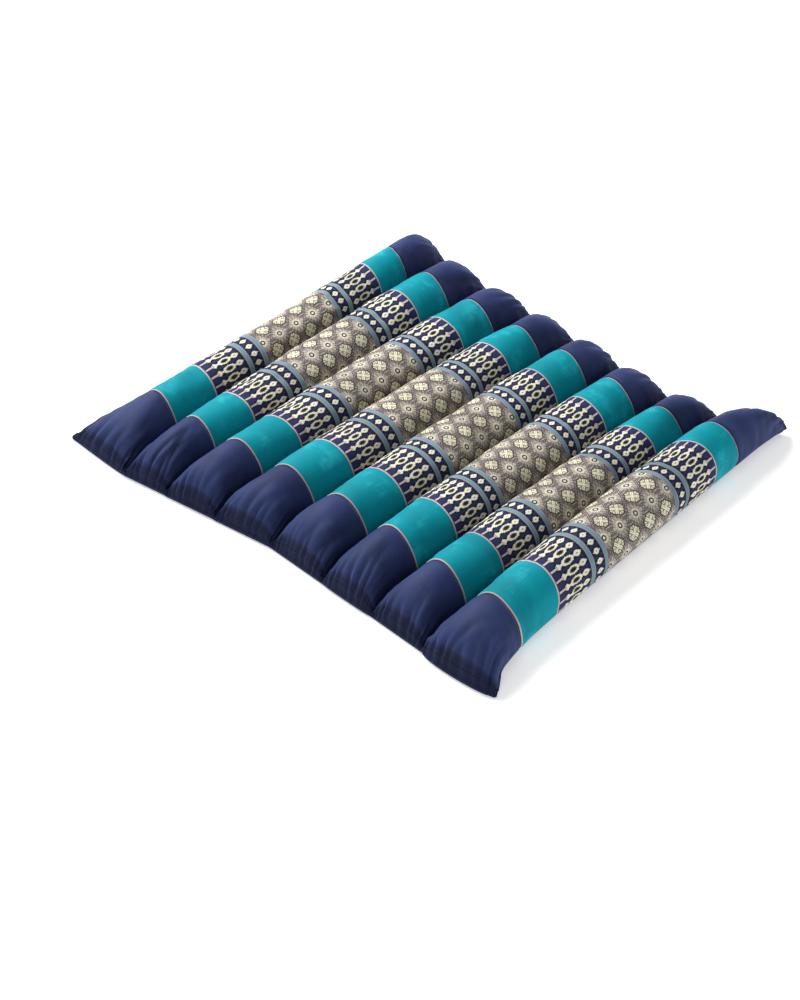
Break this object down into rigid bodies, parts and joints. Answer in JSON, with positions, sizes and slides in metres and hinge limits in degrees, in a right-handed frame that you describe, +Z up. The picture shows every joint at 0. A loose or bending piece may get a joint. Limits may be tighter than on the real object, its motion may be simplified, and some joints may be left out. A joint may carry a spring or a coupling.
{
  "type": "meditation cushion",
  "caption": "Flat rectangular floor cushion of parallel stuffed channels sewn side by side, with a woven panel over its middle, plain ends and drawn-out corners.",
  "frame": {"origin": "under the middle of the cushion's bounding box, on the plane that it rests on", "axes": "+X runs across the channels, +Y along them from the front ends to the back ends, +Z up"},
  "size_m": [0.54, 0.4872, 0.0505],
  "materials": {
    "underside": "plain navy cotton, matte",
    "woven": "patterned woven cotton, matte",
    "end_front": "plain navy cotton, slight sheen",
    "end_back": "plain navy cotton, slight sheen"
  },
  "bodies": {
    "root": {"cushion_body": "underside", "woven_panel": "woven", "end_panel_front": "end_front", "end_panel_back": "end_back"}
  },
  "joints": []
}
